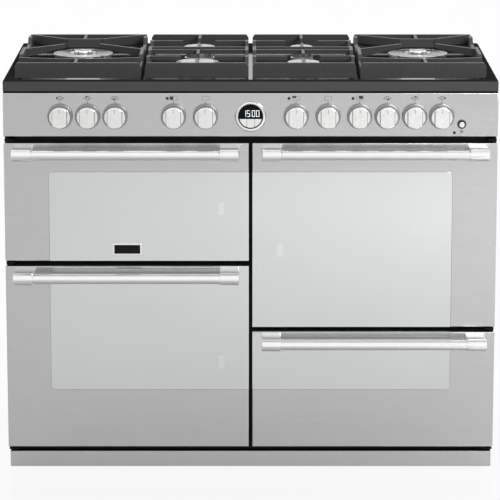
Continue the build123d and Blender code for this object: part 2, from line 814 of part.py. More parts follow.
support_top = hob_height + support_rise
centre_cap_top = support_top - centre_finger_height - cap_clearance
wok_cap_top = support_top - wok_cap_drop
with BuildPart() as burner_crowns:
    for x, y, radius in burners:
        rod((x, y, well_z - burner_throat), (0, 0, 1), burner_throat, radius / 2)
        rod((x, y, well_z), (0, 0, 1), burner_flange, flange_share * radius)
        if radius == wok_radius:
            crown_top = wok_cap_top - cap_thickness
            rod((x, y, well_z), (0, 0, 1), crown_top - well_z, wok_crown_share * radius)
            rod((x, y, well_z + burner_flange), (0, 0, 1), crown_top, wok_hole_radius, mode=Mode.SUBTRACT)
            rod((x, y, well_z), (0, 0, 1), wok_cap_top - well_z, wok_crown_share * wok_inner_radius)
        else:
            crown_top = centre_cap_top - cap_thickness
            rod((x, y, well_z), (0, 0, 1), crown_top - well_z, crown_share * radius)
save(burner_crowns, "burner_crowns")

with BuildPart() as burner_caps:
    for x, y, radius in burners:
        if radius == wok_radius:
            cap_low = wok_cap_top - cap_thickness
            with BuildSketch(Plane.XY.offset(cap_low)):
                with Locations((x, y)):
                    Circle(radius)
                    Circle(wok_hole_radius, mode=Mode.SUBTRACT)
            extrude(amount=cap_thickness)
            rod((x, y, wok_cap_top), (0, 0, 1), cap_thickness, wok_inner_radius)
        else:
            rod((x, y, centre_cap_top - cap_thickness), (0, 0, 1), cap_thickness, radius)
    fillet(burner_caps.edges().filter_by(GeomType.CIRCLE).group_by(Axis.Z)[-1], cap_round)
save(burner_caps, "burner_caps")

with BuildPart() as spark_electrodes:
    for x, y, radius in burners:
        cap_top = wok_cap_top if radius == wok_radius else centre_cap_top
        reach = (radius + 3 * electrode_radius) / 2**0.5
        rod((x + reach, y - reach, well_z), (0, 0, 1), cap_top - cap_thickness - well_z, electrode_radius)
save(spark_electrodes, "spark_electrodes")

support_low = support_top - support_height
bar_front = front_y + support_front
bar_back = back_y - support_back_margin


def end_bar(x0, x1, y):
    """A front or back bar of a pan support: chamfered top corners over a wider lip."""
    lip_top = support_low + lip_height
    with BuildSketch(Plane(origin=(0, y, 0), x_dir=(1, 0, 0), z_dir=(0, -1, 0))) as face:
        with BuildLine():
            Polyline(
                (x0, lip_top),
                (x0, support_top - bar_chamfer_drop),
                (x0 + bar_chamfer_run, support_top),
                (x1 - bar_chamfer_run, support_top),
                (x1, support_top - bar_chamfer_drop),
                (x1, lip_top),
                close=True,
            )
        make_face()
    extrude(face.sketch, amount=-support_bar)
    block(x0, x1, y - sheet, y + support_bar + sheet, support_low, lip_top)


def side_rail(x, humps):
    """A side rail of a pan support: low, with a raised hump over each stretch given in Y."""
    rail_top = support_top - rail_drop
    points = [(bar_front, support_low), (bar_front, rail_top)]
    for start, end in humps:
        points += [(start - hump_slope, rail_top), (start, support_top)]
        points += [(end, support_top), (end + hump_slope, rail_top)]
    points += [(bar_back, rail_top), (bar_back, support_low)]
    with BuildSketch(Plane(origin=(x, 0, 0), x_dir=(0, 1, 0), z_dir=(1, 0, 0))) as face:
        with BuildLine():
            Polyline(*points, close=True)
        make_face()
    extrude(face.sketch, amount=support_bar)


def finger(x0, y0, x1, y1, height, tip_height):
    """A cast finger between two plan points, level with the support's top and tapered below."""
    run = Vector(x1 - x0, y1 - y0)
    along = run.normalized()
    side_view = Plane(origin=(x0, y0, support_top), x_dir=along, z_dir=(along.Y, -along.X, 0))
    with BuildSketch(side_view) as face:
        with BuildLine():
            Polyline((0, 0), (run.length, 0), (run.length, -tip_height), (0, -height), close=True)
        make_face()
    extrude(face.sketch, amount=finger_width / 2, both=True)


def support_frame(x0, x1, humps):
    """The outer frame of a pan support on four feet."""
    end_bar(x0, x1, bar_front)
    end_bar(x0, x1, bar_back - support_bar)
    for x in (x0, x1 - support_bar):
        side_rail(x, humps)
        for y in (bar_front, bar_back - support_bar):
            block(x, x + support_bar, y, y + support_bar, well_z, support_low)


back_bar_y = wok_y + wok_back_bar
front_bar_y = support_middle - wok_front_bar
for side, place in ((-1, "left"), (1, "right")):
    support_x = side * wok_support_x
    wok_centre = side * wok_x
    half = wok_support_width / 2
    arm_start = half - support_bar / 2
    with BuildPart() as wok_support:
        support_frame(
            support_x - half, support_x + half,
            [
                (support_middle - wok_hump_front, support_middle + wok_hump_back),
                (bar_back - wok_rear_hump, bar_back - 2 * hump_slope),
            ],
        )
        for way in (-1, 1):
            edge = support_x + way * arm_start
            tip = wok_centre + way * wok_arm
            for root_y, tip_y, tip_height in (
                (bar_back - support_bar / 2, back_bar_y, wok_finger_height),
                (support_middle - wok_arm_root, wok_y - wok_arm_tip, wok_tip_height),
                (support_middle - wok_front_root, front_bar_y, wok_finger_height),
            ):
                finger(edge, root_y, tip, tip_y, wok_finger_height, tip_height)
        for bar_y, end_y in (
            (back_bar_y, bar_back - support_bar / 2),
            (front_bar_y, bar_front + support_bar / 2),
        ):
            bar = [wok_finger_height, wok_finger_height]
            finger(wok_centre - wok_arm, bar_y, wok_centre + wok_arm, bar_y, *bar)
            finger(wok_centre, bar_y, wok_centre, end_y, *bar)
    save(wok_support, f"{place}_wok_support")

for side, place in ((-1, "left"), (1, "right")):
    grid_x = side * centre_x
    half = centre_support_width / 2
    edge = half - support_bar / 2
    with BuildPart() as centre_support:
        hump = centre_hump
        support_frame(
            grid_x - half, grid_x + half,
            [
                (support_middle - burner_step - hump, support_middle - burner_step + hump),
                (support_middle - cross_step - hump, support_middle + cross_step + hump),
                (support_middle + burner_step - hump, support_middle + burner_step + hump),
            ],
        )
        for way, bar_y in ((-1, bar_front + support_bar / 2), (1, bar_back - support_bar / 2)):
            burner_y = support_middle + way * burner_step
            cross_y = support_middle + way * cross_step
            level = [centre_finger_height, centre_finger_height]
            finger(grid_x - edge, cross_y, grid_x + edge, cross_y, *level)
            finger(grid_x - edge, burner_y, grid_x - finger_tip, burner_y, *level)
            finger(grid_x + edge, burner_y, grid_x + finger_tip, burner_y, *level)
            finger(grid_x, cross_y, grid_x, burner_y - way * finger_tip, *level)
            finger(grid_x, bar_y, grid_x, burner_y + way * finger_tip, *level)
    save(centre_support, f"{place}_centre_support")
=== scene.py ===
import json
import math

import bmesh
import bpy
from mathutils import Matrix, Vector


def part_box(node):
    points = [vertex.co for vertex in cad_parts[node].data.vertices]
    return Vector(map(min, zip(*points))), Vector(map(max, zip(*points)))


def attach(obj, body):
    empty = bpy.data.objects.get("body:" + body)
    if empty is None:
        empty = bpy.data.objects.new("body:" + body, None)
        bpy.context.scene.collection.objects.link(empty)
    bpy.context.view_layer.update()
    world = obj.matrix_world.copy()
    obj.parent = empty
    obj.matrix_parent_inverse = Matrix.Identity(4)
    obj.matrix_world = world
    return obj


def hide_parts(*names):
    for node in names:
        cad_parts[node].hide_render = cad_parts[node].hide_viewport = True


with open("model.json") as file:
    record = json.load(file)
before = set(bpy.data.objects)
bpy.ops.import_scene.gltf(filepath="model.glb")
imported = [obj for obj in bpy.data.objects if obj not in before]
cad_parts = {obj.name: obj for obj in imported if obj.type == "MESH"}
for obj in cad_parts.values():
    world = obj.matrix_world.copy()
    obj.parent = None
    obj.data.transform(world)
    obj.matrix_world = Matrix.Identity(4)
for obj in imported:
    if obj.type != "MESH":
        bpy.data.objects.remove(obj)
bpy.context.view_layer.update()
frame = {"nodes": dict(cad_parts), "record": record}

# Chassis: the base pan, back panel, fan motors and feet are zinc-coated sheet and turned steel,
# folded and screwed together. The spangle of the zinc shows on the flat sheet.
nodes = frame["nodes"]
bodies = frame["record"]["behaviour"]["bodies"]
body_of_node = {node: body for body, members in bodies.items() for node in members}


def shader(name, colour, metal, rough):
    """A new material with its principled shader's plain values set; returns both."""
    material = bpy.data.materials.new(name)
    material.use_nodes = True
    surface = material.node_tree.nodes["Principled BSDF"]
    surface.inputs["Base Color"].default_value = (*colour, 1)
    surface.inputs["Metallic"].default_value = metal
    surface.inputs["Roughness"].default_value = rough
    return material, surface


def pattern(surface, texture, scale, stretch=(1, 1, 1)):
    """A texture node beside a shader, on Object coordinates stretched along the axes."""
    tree = surface.id_data
    place = tree.nodes.new("ShaderNodeTexCoord")
    mapping = tree.nodes.new("ShaderNodeMapping")
    mapping.inputs["Scale"].default_value = stretch
    node = tree.nodes.new(texture)
    node.inputs["Scale"].default_value = scale
    tree.links.new(place.outputs["Object"], mapping.inputs["Vector"])
    tree.links.new(mapping.outputs["Vector"], node.inputs["Vector"])
    return node


def spread(surface, source, low, high):
    """Maps the middle of a texture's values to a range of roughness."""
    tree = surface.id_data
    ramp = tree.nodes.new("ShaderNodeMapRange")
    ramp.inputs["From Min"].default_value = 0.3
    ramp.inputs["From Max"].default_value = 0.7
    ramp.inputs["To Min"].default_value = low
    ramp.inputs["To Max"].default_value = high
    tree.links.new(source, ramp.inputs["Value"])
    tree.links.new(ramp.outputs["Result"], surface.inputs["Roughness"])


def tint(surface, source, dark, light, socket="Base Color"):
    """Blends between two colours over the middle of a texture's values, into a colour socket."""
    tree = surface.id_data
    ramp = tree.nodes.new("ShaderNodeValToRGB")
    for stop, position, colour in zip(ramp.color_ramp.elements, (0.35, 0.65), (dark, light)):
        stop.position = position
        stop.color = (*colour, 1)
    tree.links.new(source, ramp.inputs["Fac"])
    tree.links.new(ramp.outputs["Color"], surface.inputs[socket])


def place_mesh(name, shape, finish, body):
    """Turns a bmesh into a smooth-shaded piece with flat large faces, which rides on a body."""
    mesh = bpy.data.meshes.new(name)
    for face in shape.faces:
        face.smooth = True
    shape.to_mesh(mesh)
    shape.free()
    mesh.set_sharp_from_angle(angle=math.radians(32))
    mesh.materials.append(finish)
    piece = bpy.data.objects.new(name, mesh)
    bpy.context.scene.collection.objects.link(piece)
    flats = piece.modifiers.new("flat_faces", "WEIGHTED_NORMAL")
    flats.keep_sharp = True
    flats.weight = 100
    seen = piece.evaluated_get(bpy.context.evaluated_depsgraph_get())
    level = bpy.data.meshes.new_from_object(seen)
    piece.modifiers.remove(flats)
    piece.data = level
    level.name = name
    bpy.data.meshes.remove(mesh)
    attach(piece, body)
    return piece


def merged_copy(node):
    """A bmesh of a CAD node with its loose triangles joined."""
    shape = bmesh.new()
    shape.from_mesh(nodes[node].data)
    bmesh.ops.remove_doubles(shape, verts=shape.verts, dist=1e-5)
    return shape


def dress(node, finish, round_edge=0.0):
    """A copy of a CAD node with merged faces and softened edges, which stands for that node."""
    shape = merged_copy(node)
    flat_angle = math.radians(0.5)
    bmesh.ops.dissolve_limit(shape, angle_limit=flat_angle, verts=shape.verts, edges=shape.edges)
    if round_edge:
        corner_angle = math.radians(40)
        sharp = [e for e in shape.edges if e.is_manifold and e.calc_face_angle(0) > corner_angle]
        bmesh.ops.bevel(
            shape, geom=sharp, offset=round_edge, segments=2, profile=0.5, affect="EDGES",
            clamp_overlap=True,
        )
    piece = place_mesh(node + "_dressed", shape, finish, body_of_node[node])
    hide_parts(node)
    return piece


zinc, zinc_surface = shader("zinc_coated_steel", (0.42, 0.43, 0.44), 0.9, 0.42)
spangle = pattern(zinc_surface, "ShaderNodeTexVoronoi", 160)
tint(zinc_surface, spangle.outputs["Color"], (0.39, 0.40, 0.41), (0.46, 0.47, 0.48))
spread(zinc_surface, spangle.outputs["Distance"], 0.38, 0.48)
for node in ("base_pan", "back_panel", "fan_motors", "levelling_feet"):
    dress(node, zinc, 0.0003)

# Front frame, side panels and hinge brackets: sheet steel in black stove enamel, which shows in
# the gaps between the doors and down both sides. The enamel has a faint orange-peel skin.
enamel, enamel_surface = shader("black_stove_enamel", (0.004, 0.004, 0.0045), 0.0, 0.4)
peel = pattern(enamel_surface, "ShaderNodeTexNoise", 260)
spread(enamel_surface, peel.outputs["Fac"], 0.34, 0.46)


def relief(surface, source, strength, depth):
    """Links a texture value to the shader's normal as a fine bump."""
    tree = surface.id_data
    bump = tree.nodes.new("ShaderNodeBump")
    bump.inputs["Strength"].default_value = strength
    bump.inputs["Distance"].default_value = depth
    tree.links.new(source, bump.inputs["Height"])
    tree.links.new(bump.outputs["Normal"], surface.inputs["Normal"])


relief(enamel_surface, peel.outputs["Fac"], 0.08, 0.0004)
enamel_surface.inputs["Specular IOR Level"].default_value = 0.15
for node in ("front_frame", "side_panels", "hinge_brackets"):
    dress(node, enamel, 0.0004)

# Plinth, door skins and fascia: stainless sheet with a fine horizontal brushed grain, folded at
# the edges. The grain catches the light in short streaks along the brushing.
steel, steel_surface = shader("brushed_stainless", (0.62, 0.62, 0.62), 1.0, 0.22)
grain = pattern(steel_surface, "ShaderNodeTexNoise", 900, (0.02, 1.0, 1.0))
grain.inputs["Detail"].default_value = 3
streak = pattern(steel_surface, "ShaderNodeTexNoise", 40, (0.02, 1.0, 1.0))
tint(steel_surface, grain.outputs["Fac"], (0.605, 0.605, 0.605), (0.635, 0.635, 0.635))
spread(steel_surface, streak.outputs["Fac"], 0.20, 0.24)
relief(steel_surface, grain.outputs["Fac"], 0.02, 0.0001)
door_names = ("upper_left", "lower_left", "upper_right", "lower_right")
for node in ("plinth", "control_fascia", *[f"{name}_door_skin" for name in door_names]):
    dress(node, steel, 0.0006)

# Oven liners, fan covers and inner door panels: pressed steel in dark vitreous enamel, fired with
# fine pale flecks. Four liners hang behind the front frame, each with its rack runners.
cavity, cavity_surface = shader("flecked_oven_enamel", (0.03, 0.032, 0.036), 0.0, 0.2)
fleck = pattern(cavity_surface, "ShaderNodeTexVoronoi", 520)
tint(cavity_surface, fleck.outputs["Distance"], (0.055, 0.058, 0.064), (0.026, 0.028, 0.032))
cavity_surface.inputs["Coat Weight"].default_value = 0.6
for node in ("oven_liners", "fan_covers", *[f"{name}_door_inner" for name in door_names]):
    dress(node, cavity, 0.0004)

# Oven racks: drawn steel wire, welded at each crossing and chromed bright. Each one rests on a
# pair of runners pressed into its liner.
wire, wire_surface = shader("chromed_rack_wire", (0.66, 0.66, 0.66), 1.0, 0.18)
handling = pattern(wire_surface, "ShaderNodeTexNoise", 90)
spread(wire_surface, handling.outputs["Fac"], 0.12, 0.28)
dress("oven_racks", wire)

# Heating elements and fans: elements are bent from steel tube and blued by heat. The fans are
# pressed from sheet with the same dull coat as the chassis, and each sits on a motor's shaft.
blued, blued_surface = shader("heat_blued_tube", (0.10, 0.09, 0.085), 0.8, 0.45)
scorch = pattern(blued_surface, "ShaderNodeTexNoise", 35)
tint(blued_surface, scorch.outputs["Fac"], (0.07, 0.06, 0.06), (0.15, 0.125, 0.11))
dress("heating_elements", blued)
for name in ("lower_left", "upper_right"):
    dress(f"{name}_oven_fan", zinc)

# Mineral wool: yellow-brown fibre board, cut to size and wrapped round each oven liner. The back
# panel holds it in.
wool, wool_surface = shader("mineral_wool_board", (0.42, 0.35, 0.2), 0.0, 0.95)
fibre = pattern(wool_surface, "ShaderNodeTexNoise", 140, (1.0, 0.15, 1.0))
tint(wool_surface, fibre.outputs["Fac"], (0.33, 0.27, 0.15), (0.50, 0.43, 0.27))
relief(wool_surface, fibre.outputs["Fac"], 0.6, 0.002)
dress("oven_insulation", wool)

# Door seals: frames of black silicone, moulded to shape and stuck to the front frame round each
# oven opening, where the doors close on them.
seal, seal_surface = shader("silicone_seal", (0.03, 0.03, 0.03), 0.0, 0.7)
bloom = pattern(seal_surface, "ShaderNodeTexNoise", 120)
spread(seal_surface, bloom.outputs["Fac"], 0.6, 0.8)
dress("door_seals", seal, 0.001)

# Mirror glass: toughened panes silvered on the back, faintly green, seated flush in each door.
# Together the four panes read as one rounded rectangle, drawn out by the bead that seats them.
mirror, mirror_surface = shader("silvered_glass", (0.73, 0.75, 0.74), 1.0, 0.05)
film = pattern(mirror_surface, "ShaderNodeTexNoise", 5)
spread(mirror_surface, film.outputs["Fac"], 0.04, 0.07)
tint(mirror_surface, film.outputs["Fac"], (0.725, 0.745, 0.735), (0.74, 0.76, 0.75))
pane_boxes = [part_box(f"{name}_mirror_glass") for name in door_names]
pane_top = max(high.z for low, high in pane_boxes)
pane_middle_z = (min(low.z for low, high in pane_boxes) + pane_top) / 2
pane_half_x = max(high.x for low, high in pane_boxes)
pane_half_z = pane_top - pane_middle_z
pane_bead = 0.0009
for name in door_names:
    pane = dress(f"{name}_mirror_glass", mirror, 0.0003)
    for vert in pane.data.vertices:
        vert.co.x *= 1 + pane_bead / pane_half_x
        vert.co.z += (vert.co.z - pane_middle_z) * pane_bead / pane_half_z

# Catch pads: small clear pads bonded to the panes over the door catches, a shade lighter than the
# silver behind them.
pad_clear, pad_surface = shader("clear_catch_pad", (0.80, 0.82, 0.81), 1.0, 0.06)
pad_film = pattern(pad_surface, "ShaderNodeTexNoise", 90)
spread(pad_surface, pad_film.outputs["Fac"], 0.05, 0.07)
pad_half = (0.007, 0.014)
pad_thickness = 0.0006


def rounded_block(shape, low, high, radius, segments=3):
    """Adds a box between two corners with its edges rounded."""
    made = bmesh.ops.create_cube(shape, size=1.0)["verts"]
    low, high = Vector(low), Vector(high)
    for vert in made:
        vert.co = Vector(low[i] + (vert.co[i] + 0.5) * (high[i] - low[i]) for i in range(3))
    edges = list({edge for vert in made for edge in vert.link_edges})
    bmesh.ops.bevel(
        shape, geom=edges, offset=radius, segments=segments, profile=0.5, affect="EDGES"
    )


for name, pad_x, pad_z in (
    ("upper_left", -0.066, 0.612), ("upper_right", 0.066, 0.516), ("lower_left", -0.066, 0.258),
):
    pane_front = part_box(f"{name}_mirror_glass")[0].y
    shape = bmesh.new()
    rounded_block(
        shape, (pad_x - pad_half[0], pane_front - pad_thickness, pad_z - pad_half[1]),
        (pad_x + pad_half[0], pane_front + pad_thickness / 2, pad_z + pad_half[1]),
        pad_thickness / 4, 2,
    )
    place_mesh(f"{name}_catch_pad", shape, pad_clear, f"{name}_door")

# Door handles: a polished tube pushed into two turned end ferrules, each on a square satin stem
# that is bolted through the door from inside.
chrome, chrome_surface = shader("polished_chrome", (0.92, 0.92, 0.92), 1.0, 0.07)
wipe = pattern(chrome_surface, "ShaderNodeTexNoise", 40, (0.2, 1.0, 1.0))
spread(chrome_surface, wipe.outputs["Fac"], 0.05, 0.10)
stem_satin, stem_surface = shader("satin_chrome_stem", (0.86, 0.86, 0.86), 1.0, 0.42)
stem_rub = pattern(stem_surface, "ShaderNodeTexNoise", 90)
spread(stem_surface, stem_rub.outputs["Fac"], 0.38, 0.46)


def turn_profile(shape, profile, centre, along, across, steps=48, hollow=False):
    """Adds a turned solid from (distance, radius) pairs; a hollow one closes on itself."""
    along = Vector(along)
    across = Vector(across)
    third = along.cross(across)
    rings = []
    for distance, radius in profile:
        ring = []
        for step in range(steps):
            angle = 2 * math.pi * step / steps
            spoke = across * math.cos(angle) + third * math.sin(angle)
            ring.append(shape.verts.new(Vector(centre) + along * distance + spoke * radius))
        rings.append(ring)
    for low, high in zip(rings, rings[1:] + rings[:1] if hollow else rings[1:]):
        for step in range(steps):
            after = (step + 1) % steps
            shape.faces.new((low[step], low[after], high[after], high[step]))
    if not hollow:
        shape.faces.new(reversed(rings[0]))
        shape.faces.new(rings[-1])


def face_finish(piece, finish, chosen):
    """Gives the faces of a piece that pass a test another finish."""
    piece.data.materials.append(finish)
    for face in piece.data.polygons:
        if chosen(face):
            face.material_index = len(piece.data.materials) - 1


ferrule_length = 0.044
bar_radius = 0.0112
ferrule_radius = 0.0135
stem_height = 0.020
stem_round = 0.0016
lip = 0.0012
for name in door_names:
    node = f"{name}_door_handle"
    low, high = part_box(node)
    axis_y = low.y + ferrule_radius
    axis_z = (low.z + high.z) / 2
    length = high.x - low.x
    shape = bmesh.new()
    profile = [
        (0.0, ferrule_radius - 2.5 * lip), (0.5 * lip, ferrule_radius - lip),
        (1.5 * lip, ferrule_radius), (ferrule_length - lip, ferrule_radius),
        (ferrule_length, ferrule_radius - lip),
        (ferrule_length, bar_radius - 0.5 * lip), (ferrule_length + lip, bar_radius - 0.5 * lip),
        (ferrule_length + 1.5 * lip, bar_radius),
    ]
    profile += [(length - distance, radius) for distance, radius in reversed(profile)]
    turn_profile(shape, profile, (low.x, axis_y, axis_z), (1, 0, 0), (0, 1, 0))
    for start in (low.x, high.x - ferrule_length):
        rounded_block(
            shape, (start + 0.5 * lip, axis_y, axis_z - stem_height / 2),
            (start + ferrule_length - lip, high.y, axis_z + stem_height / 2), stem_round,
        )
    handle = place_mesh(f"{name}_bar_handle", shape, chrome, body_of_node[node])
    face_finish(handle, stem_satin, lambda face: face.center.y > axis_y + ferrule_radius)
    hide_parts(node)

# Name plate: a small blank field of black enamel in a bright chromed rim. The two are bonded low
# on the upper left pane.
plate_centre = (-0.2763, 0.519)
plate_half = (0.033, 0.0140)
plate_rim = 0.0040
plate_proud = 0.0022
plate_seat = 0.0001
plate_round = 0.0014
field_proud = 0.0026
field_seat = 0.0021
field_round = 0.0002
pane_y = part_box("upper_left_mirror_glass")[0].y


def plate_block(inset, proud, seat, radius):
    """A rounded block on the pane about the plate's middle, smaller all round by an inset."""
    half_x, half_z = plate_half[0] - inset, plate_half[1] - inset
    block = bmesh.new()
    rounded_block(
        block, (plate_centre[0] - half_x, pane_y - proud, plate_centre[1] - half_z),
        (plate_centre[0] + half_x, pane_y - seat, plate_centre[1] + half_z), radius,
    )
    return block


plate_shape = plate_block(0.0, plate_proud, plate_seat, plate_round)
place_mesh("name_plate_rim", plate_shape, chrome, "upper_left_door")
plate_black, plate_surface = shader("name_plate_black", (0.006, 0.006, 0.006), 0.0, 0.35)
plate_skin = pattern(plate_surface, "ShaderNodeTexNoise", 300)
spread(plate_surface, plate_skin.outputs["Fac"], 0.3, 0.42)
plate_surface.inputs["Specular IOR Level"].default_value = 0.15
field_shape = plate_block(plate_rim, field_proud, field_seat, field_round)
place_mesh("name_plate_field", field_shape, plate_black, "upper_left_door")

# Knobs: diecast and chromed, each with a turned skirt, a round barrel and a broad grip whose sides
# are milled flat. The skirt, the barrel's side and the grip's flat sides take a darker copy of the
# chrome, which is painted shade. A short grey line at the top of the grip points to the setting.
knob_nodes = [node for node in sorted(nodes) if "_knob_" in node]
satin, satin_surface = shader("satin_chrome_knob", (0.95, 0.95, 0.94), 1.0, 0.24)
polish = pattern(satin_surface, "ShaderNodeTexNoise", 55)
spread(satin_surface, polish.outputs["Fac"], 0.17, 0.28)
# The skirt and barrel finishes are the knob's chrome made darker as painted shade.
skirt_painted_shade, skirt_shade_surface = shader("knob_skirt_painted_shade", (0.30, 0.30, 0.30), 1.0, 0.3)
skirt_shade_rings = pattern(skirt_shade_surface, "ShaderNodeTexNoise", 120)
spread(skirt_shade_surface, skirt_shade_rings.outputs["Fac"], 0.26, 0.34)
barrel_painted_shade, barrel_shade_surface = shader("knob_barrel_painted_shade", (0.30, 0.30, 0.295), 1.0, 0.24)
barrel_shade_rings = pattern(barrel_shade_surface, "ShaderNodeTexNoise", 120)
spread(barrel_shade_surface, barrel_shade_rings.outputs["Fac"], 0.20, 0.28)
pale_ink, pale_surface = shader("pale_print", (0.46, 0.46, 0.46), 0.0, 0.5)
pale_grain = pattern(pale_surface, "ShaderNodeTexNoise", 900)
spread(pale_surface, pale_grain.outputs["Fac"], 0.42, 0.58)
spindle_length = 0.0315
spindle_radius = 0.004
skirt_radius = 0.028
skirt_depth = 0.008
knob_radius = 0.0233
knob_depth = 0.020
knob_front = 0.032
knob_gap = 0.001
knob_round = 0.001
knob_sides = 64
grip_half = 0.0165
grip_round = 0.0018
shaded_flats_from = grip_half - 0.002
pointer_half = 0.0007
pointer_low, pointer_high = 0.011, 0.0195
pointer_proud, pointer_sunk = 0.00025, 0.0002
to_front = ((0, -1, 0), (1, 0, 0))
fascia_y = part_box("control_fascia")[0].y


def grip_outline(radius, half, steps=72):
    """The grip's outline: a circle with two flat sides, as (x, z) points round the centre."""
    corner = math.acos(half / radius)
    turns = sorted(
        [2 * math.pi * step / steps for step in range(steps)]
        + [corner, math.pi - corner, math.pi + corner, 2 * math.pi - corner]
    )
    points = []
    for turn in turns:
        reach = min(radius, half / max(abs(math.cos(turn)), 1e-6))
        points.append((reach * math.cos(turn), reach * math.sin(turn)))
    return points


def stack_outlines(shape, layers, centre):
    """Adds a closed solid through outlines that stand one in front of another along -Y."""
    rings = []
    for depth, points in layers:
        spots = [(centre[0] + x, centre[1] - depth, centre[2] + z) for x, z in points]
        rings.append([shape.verts.new(spot) for spot in spots])
    count = len(rings[0])
    for near, far in zip(rings, rings[1:]):
        for i in range(count):
            j = (i + 1) % count
            shape.faces.new((near[i], near[j], far[j], far[i]))
    shape.faces.new(reversed(rings[0]))
    shape.faces.new(rings[-1])


for node in knob_nodes:
    low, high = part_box(node)
    centre = ((low.x + high.x) / 2, fascia_y - knob_gap, (low.z + high.z) / 2)
    shape = bmesh.new()
    turn_profile(
        shape,
        [
            (-spindle_length, spindle_radius), (0.0, spindle_radius), (0.0, skirt_radius),
            (skirt_depth - 0.002, skirt_radius), (skirt_depth - 0.0005, skirt_radius - 0.0006),
            (skirt_depth, skirt_radius - 0.002), (skirt_depth, knob_radius - knob_round),
        ],
        centre, *to_front, knob_sides,
    )
    skirt = place_mesh(f"{node}_skirt", shape, skirt_painted_shade, body_of_node[node])
    shape = bmesh.new()
    turn_profile(
        shape,
        [
            (skirt_depth - knob_round, knob_radius), (knob_depth - knob_round, knob_radius),
            (knob_depth - 0.0003, knob_radius - 0.0003), (knob_depth, knob_radius - knob_round),
        ],
        centre, *to_front, knob_sides,
    )
    barrel = place_mesh(f"{node}_barrel", shape, barrel_painted_shade, body_of_node[node])
    face_finish(barrel, satin, lambda face: face.normal.y < -0.9)
    shape = bmesh.new()
    stack_outlines(
        shape,
        [
            (depth, grip_outline(knob_radius - inset, grip_half - inset))
            for depth, inset in (
                (knob_depth - 0.002, 0.0), (knob_front - grip_round, 0.0),
                (knob_front - 0.0010, 0.0003), (knob_front - 0.0003, 0.0009),
                (knob_front, grip_round),
            )
        ],
        centre,
    )
    knob = place_mesh(f"{node}_grip", shape, satin, body_of_node[node])
    # The grip's flat sides take the darker chrome as painted shade.
    face_finish(
        knob, barrel_painted_shade,
        lambda face: abs(face.normal.x) > 0.6 and abs(face.center.x - centre[0]) > shaded_flats_from,
    )
    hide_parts(node)
    mark = bmesh.new()
    face_y = centre[1] - knob_front
    rounded_block(
        mark, (centre[0] - pointer_half, face_y - pointer_proud, centre[2] + pointer_low),
        (centre[0] + pointer_half, face_y + pointer_sunk, centre[2] + pointer_high), 0.0001, 1,
    )
    place_mesh(f"{node}_pointer", mark, pale_ink, body_of_node[node])

# Timer: a round moulding in a chromed bezel. The upper half is a dark window over lit digits, and
# three satin push keys share the lower half.
timer_low, timer_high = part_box("timer_module")
timer_z = (timer_low.z + timer_high.z) / 2
timer_radius = (timer_high.x - timer_low.x) / 2
face_radius = 0.0262
bezel_front = fascia_y - timer_low.y
bezel_seat = 0.0002
bezel_sides = 96
gloss, gloss_surface = shader("timer_gloss_black", (0.003, 0.003, 0.003), 0.0, 0.2)
smear = pattern(gloss_surface, "ShaderNodeTexNoise", 60)
spread(gloss_surface, smear.outputs["Fac"], 0.16, 0.24)
gloss_surface.inputs["Specular IOR Level"].default_value = 0.12
dress("timer_module", gloss)
bezel = bmesh.new()
bezel_profile = [
    (bezel_seat, timer_radius + 0.0004), (bezel_front - 0.0018, timer_radius + 0.0004),
    (bezel_front - 0.0006, timer_radius - 0.0004),
    (bezel_front + bezel_seat, timer_radius - 0.0022),
    (bezel_front + bezel_seat, face_radius + 0.0020), (bezel_front - 0.0008, face_radius + 0.0008),
    (0.0022, face_radius + bezel_seat), (bezel_seat, face_radius + bezel_seat),
]
turn_profile(bezel, bezel_profile, (0, fascia_y, timer_z), *to_front, bezel_sides, hollow=True)
bmesh.ops.recalc_face_normals(bezel, faces=bezel.faces)
place_mesh("timer_bezel", bezel, chrome, "cooker")
for side in ("left", "middle", "right"):
    key = dress(f"timer_button_{side}", satin, 0.0006)

# Timer digits: the seven-segment strokes of a small display, which shine through the dark window
# and show a plain quarter hour.
lit, lit_surface = shader("lit_segment", (0.75, 0.8, 0.85), 0.0, 0.4)
glow = pattern(lit_surface, "ShaderNodeTexNoise", 500)
tint(lit_surface, glow.outputs["Fac"], (0.78, 0.84, 0.9), (0.95, 0.98, 1.0), "Emission Color")
lit_surface.inputs["Emission Strength"].default_value = 0.9
segment_ends = {
    "a": ((0, 2), (1, 2)), "b": ((1, 1), (1, 2)), "c": ((1, 0), (1, 1)), "d": ((0, 0), (1, 0)),
    "e": ((0, 0), (0, 1)), "f": ((0, 1), (0, 2)), "g": ((0, 1), (1, 1)),
}
digit_segments = {"1": "bc", "5": "afgcd", "0": "abcdef"}
digit_width = 0.0058
digit_half = 0.0066
digit_z = timer_z - 0.0004
stroke = 0.0005
stroke_round = 0.00008
window_y = fascia_y - 0.002
digit_front, digit_back = window_y - 0.0003, window_y - 0.0001
digit_lefts = (-0.0166, -0.0078, 0.0036, 0.0130)
colon_x = 0.0004
colon_dots = (0.0035, 0.0100)
digit_shape = bmesh.new()
for digit, left in zip("1500", digit_lefts):
    for segment in digit_segments[digit]:
        (x0, z0), (x1, z1) = segment_ends[segment]
        rounded_block(
            digit_shape,
            (left + x0 * digit_width - stroke, digit_front, digit_z + z0 * digit_half - stroke),
            (left + x1 * digit_width + stroke, digit_back, digit_z + z1 * digit_half + stroke),
            stroke_round, 1,
        )
for dot_z in colon_dots:
    rounded_block(
        digit_shape, (colon_x, digit_front, digit_z + dot_z - stroke),
        (colon_x + 2 * stroke, digit_back, digit_z + dot_z + stroke), stroke_round, 1,
    )
place_mesh("timer_digits", digit_shape, lit, "cooker")
